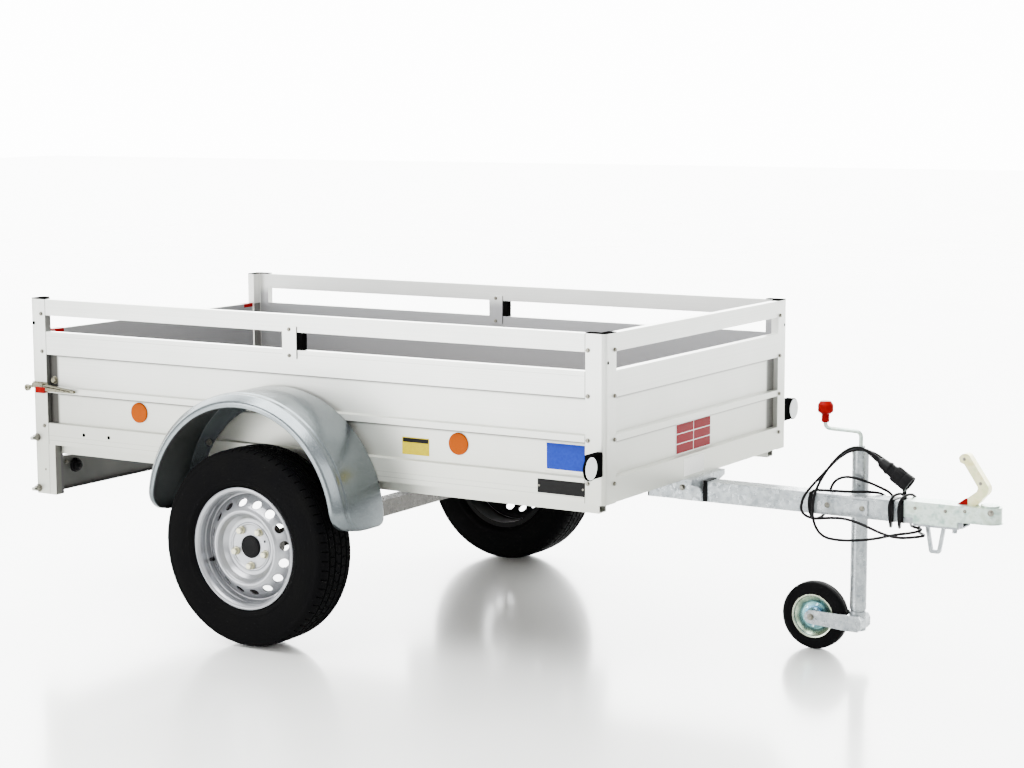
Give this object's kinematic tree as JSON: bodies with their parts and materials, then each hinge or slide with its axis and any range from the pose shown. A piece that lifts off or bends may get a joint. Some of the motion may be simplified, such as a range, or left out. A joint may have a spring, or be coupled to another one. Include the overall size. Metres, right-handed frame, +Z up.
{
  "type": "utility trailer",
  "caption": "Single-axle box trailer with panelled sides, raised rails, drop tailgate, mudguards, drawbar with ball coupling and jockey wheel",
  "frame": {"origin": "on the ground, at the centre of the trailer's box in plan", "axes": "+X along the drawbar towards the coupling, +Y to the trailer's left, +Z up"},
  "size_m": [3.058, 1.6, 0.9705],
  "materials": {
    "anodised_aluminium": "fine drawn satin",
    "galvanised_steel": "mottled zinc",
    "zinc_coupling": "bright pressed zinc",
    "dark_steel": "dull",
    "wheel_silver": "silver lacquer",
    "bolt_steel": "zinc plated",
    "black_plastic": "moulded",
    "red_plastic": "moulded",
    "orange_lens": "clear moulded",
    "tail_lens": "clear moulded",
    "cream_passivated": "yellow passivated zinc",
    "tyre_rubber": "moulded",
    "black_rubber": "moulded",
    "floor_plywood": "film faced"
  },
  "bodies": {
    "chassis": {"axle_brackets": "galvanised_steel", "axle_tube": "dark_steel", "cable": "black_rubber", "cable_gland": "black_plastic", "coupling_body": "zinc_coupling", "coupling_handle": "cream_passivated", "coupling_indicator": "red_plastic", "cross_members": "galvanised_steel", "drawbar": "galvanised_steel", "drawbar_bracket": "galvanised_steel", "drawbar_loop": "galvanised_steel", "drawbar_plugs": "black_plastic", "fender_left": "galvanised_steel", "fender_right": "galvanised_steel", "floor_panel": "floor_plywood", "front_board": "anodised_aluminium", "front_markers": "black_plastic", "jack_clamp": "galvanised_steel", "jack_clamp_plate": "galvanised_steel", "latches": "galvanised_steel", "light_bar": "galvanised_steel", "plug": "black_plastic", "post_caps": "black_plastic", "post_front_left": "anodised_aluminium", "post_front_right": "anodised_aluminium", "post_rear_left": "anodised_aluminium", "post_rear_right": "anodised_aluminium", "rail_support_plates": "anodised_aluminium", "rail_support_spacers": "black_plastic", "side_board_left": "anodised_aluminium", "side_board_right": "anodised_aluminium", "side_reflectors": "orange_lens", "sills": "galvanised_steel", "swing_arm_left": "dark_steel", "swing_arm_right": "dark_steel", "tail_lamps": "tail_lens", "top_rail_front": "anodised_aluminium", "top_rail_left": "anodised_aluminium", "top_rail_right": "anodised_aluminium"},
    "wheel_right": {"tyre_right": "tyre_rubber", "rim_right": "wheel_silver", "hub_right": "dark_steel", "wheel_bolts_right": "bolt_steel", "hub_cap_right": "black_plastic"},
    "wheel_left": {"tyre_left": "tyre_rubber", "rim_left": "wheel_silver", "hub_left": "dark_steel", "wheel_bolts_left": "bolt_steel", "hub_cap_left": "black_plastic"},
    "gate": {"tailgate": "anodised_aluminium", "tailgate_caps": "red_plastic"},
    "jack_post": {"jack_tube": "galvanised_steel", "jack_crank": "galvanised_steel", "jack_knob": "red_plastic"},
    "jack_leg": {"jack_inner_tube": "galvanised_steel"},
    "jack_swivel": {"jack_fork": "galvanised_steel"},
    "jack_wheel": {"jack_tyre": "black_rubber", "jack_rim": "galvanised_steel"}
  },
  "joints": [
    {"name": "wheel_right_spin", "type": "hinge", "parent": "chassis", "child": "wheel_right", "pos_m": [-0.491, -0.7145, 0.295], "axis": [0, 1, 0], "continuous": true},
    {"name": "wheel_left_spin", "type": "hinge", "parent": "chassis", "child": "wheel_left", "pos_m": [-0.491, 0.7145, 0.295], "axis": [0, 1, 0], "continuous": true},
    {"name": "gate_hinge", "type": "hinge", "parent": "chassis", "child": "gate", "pos_m": [-1.489, 0, 0.519], "axis": [0, -1, 0], "range_deg": [0, 180]},
    {"name": "jack_lift", "type": "slide", "parent": "chassis", "child": "jack_post", "axis": [0, 0, 1], "range_m": [0, 0.13]},
    {"name": "jack_crank_out", "type": "slide", "parent": "jack_post", "child": "jack_leg", "axis": [0, 0, -1], "range_m": [0, 0.2]},
    {"name": "jack_swivel_turn", "type": "hinge", "parent": "jack_leg", "child": "jack_swivel", "pos_m": [1.08, 0.075, 0.1], "axis": [0, 0, 1], "continuous": true},
    {"name": "jack_wheel_spin", "type": "hinge", "parent": "jack_swivel", "child": "jack_wheel", "pos_m": [0.948, 0.075, 0.1], "axis": [0, 1, 0], "continuous": true}
  ]
}
